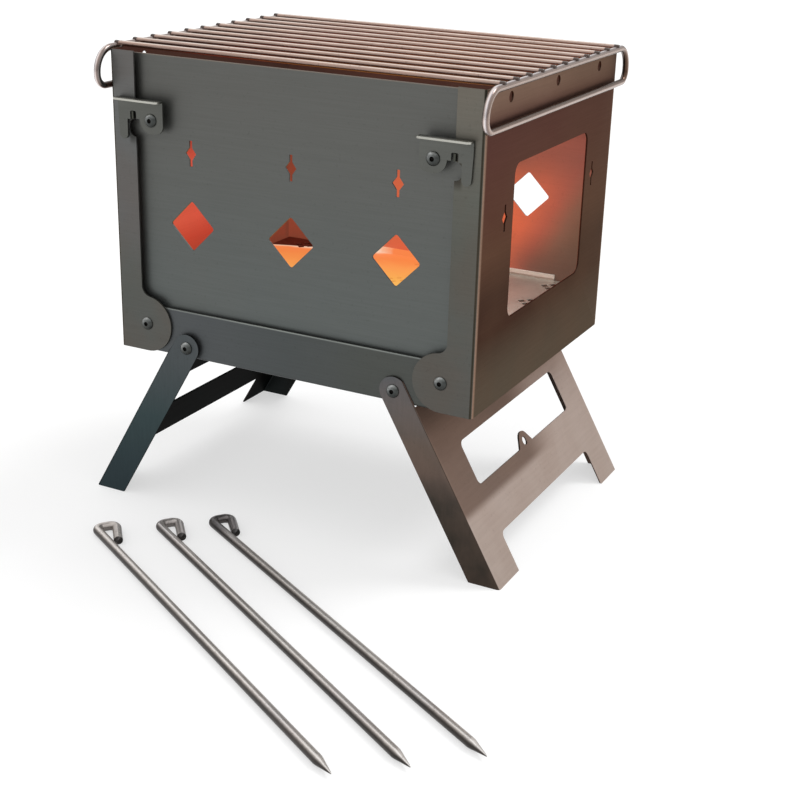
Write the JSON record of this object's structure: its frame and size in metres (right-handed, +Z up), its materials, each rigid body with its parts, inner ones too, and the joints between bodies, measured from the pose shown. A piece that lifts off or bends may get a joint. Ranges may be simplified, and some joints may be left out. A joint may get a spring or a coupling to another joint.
{
  "type": "folding fire box",
  "caption": "Folding sheet-steel fire box on channel legs, with hook latches on its plates, a lift-off bar grate, a raised charcoal plate and loose roasting rods.",
  "frame": {"origin": "on the ground under the middle of the box, at the centre of the four feet", "axes": "+X along the box's long side to the right, +Y from its front plate to its back plate, +Z up"},
  "size_m": [0.4358, 0.5148, 0.3578],
  "materials": {
    "side_steel": "satin",
    "end_steel": "satin",
    "leg_steel": "satin",
    "inner_steel": "satin",
    "bright_steel": "polished",
    "wire_steel": "polished"
  },
  "bodies": {
    "firebox": {"base_pan": "side_steel", "left_end_panel": "end_steel", "right_end_panel": "end_steel", "latch_keepers": "end_steel", "ear_rivets": "bright_steel", "leg_rivets": "bright_steel", "leg_washers": "bright_steel"},
    "front_wall": {"front_plate": "side_steel", "front_latch_rivets": "bright_steel", "front_latch_spacers": "bright_steel"},
    "back_wall": {"back_plate": "side_steel", "back_latch_rivets": "bright_steel", "back_latch_spacers": "bright_steel"},
    "front_left_hook": {"latch_front_left": "bright_steel"},
    "front_right_hook": {"latch_front_right": "bright_steel"},
    "back_left_hook": {"latch_back_left": "bright_steel"},
    "back_right_hook": {"latch_back_right": "bright_steel"},
    "left_legs": {"left_leg_frame": "leg_steel"},
    "right_legs": {"right_leg_frame": "leg_steel"},
    "grate": {"grate_bars": "wire_steel", "left_grate_loop": "bright_steel", "right_grate_loop": "bright_steel"},
    "coal_tray": {"charcoal_plate": "inner_steel"},
    "front_rod": {"rod_front": "wire_steel"},
    "middle_rod": {"rod_middle": "wire_steel"},
    "back_rod": {"rod_back": "wire_steel"}
  },
  "joints": [
    {"name": "grate_lift", "type": "slide", "parent": "firebox", "child": "grate", "axis": [0, 0, 1], "range_m": [0, 0.1]},
    {"name": "front_plate_lift", "type": "slide", "parent": "firebox", "child": "front_wall", "axis": [0, 0, 1], "range_m": [0, 0.2]},
    {"name": "back_plate_lift", "type": "slide", "parent": "firebox", "child": "back_wall", "axis": [0, 0, 1], "range_m": [0, 0.2]},
    {"name": "charcoal_plate_lift", "type": "slide", "parent": "firebox", "child": "coal_tray", "axis": [0, 0, 1], "range_m": [0, 0.15]},
    {"name": "front_left_latch_swivel", "type": "hinge", "parent": "front_wall", "child": "front_left_hook", "pos_m": [-0.114, -0.12605, 0.3055], "axis": [0, 1, 0], "range_deg": [0, 110]},
    {"name": "front_right_latch_swivel", "type": "hinge", "parent": "front_wall", "child": "front_right_hook", "pos_m": [0.114, -0.12605, 0.3055], "axis": [0, -1, 0], "range_deg": [0, 110]},
    {"name": "back_left_latch_swivel", "type": "hinge", "parent": "back_wall", "child": "back_left_hook", "pos_m": [-0.114, 0.12605, 0.3055], "axis": [0, 1, 0], "range_deg": [0, 110]},
    {"name": "back_right_latch_swivel", "type": "hinge", "parent": "back_wall", "child": "back_right_hook", "pos_m": [0.114, 0.12605, 0.3055], "axis": [0, -1, 0], "range_deg": [0, 110]},
    {"name": "left_leg_fold", "type": "hinge", "parent": "firebox", "child": "left_legs", "pos_m": [-0.088, 0, 0.1355], "axis": [0, -1, 0], "range_deg": [0, 120]},
    {"name": "right_leg_fold", "type": "hinge", "parent": "firebox", "child": "right_legs", "pos_m": [0.088, 0, 0.1355], "axis": [0, 1, 0], "range_deg": [0, 120]},
    {"name": "front_rod_lift", "type": "slide", "parent": "firebox", "child": "front_rod", "axis": [0, 0, 1], "range_m": [0, 0.1]},
    {"name": "middle_rod_lift", "type": "slide", "parent": "firebox", "child": "middle_rod", "axis": [0, 0, 1], "range_m": [0, 0.1]},
    {"name": "back_rod_lift", "type": "slide", "parent": "firebox", "child": "back_rod", "axis": [0, 0, 1], "range_m": [0, 0.1]}
  ]
}
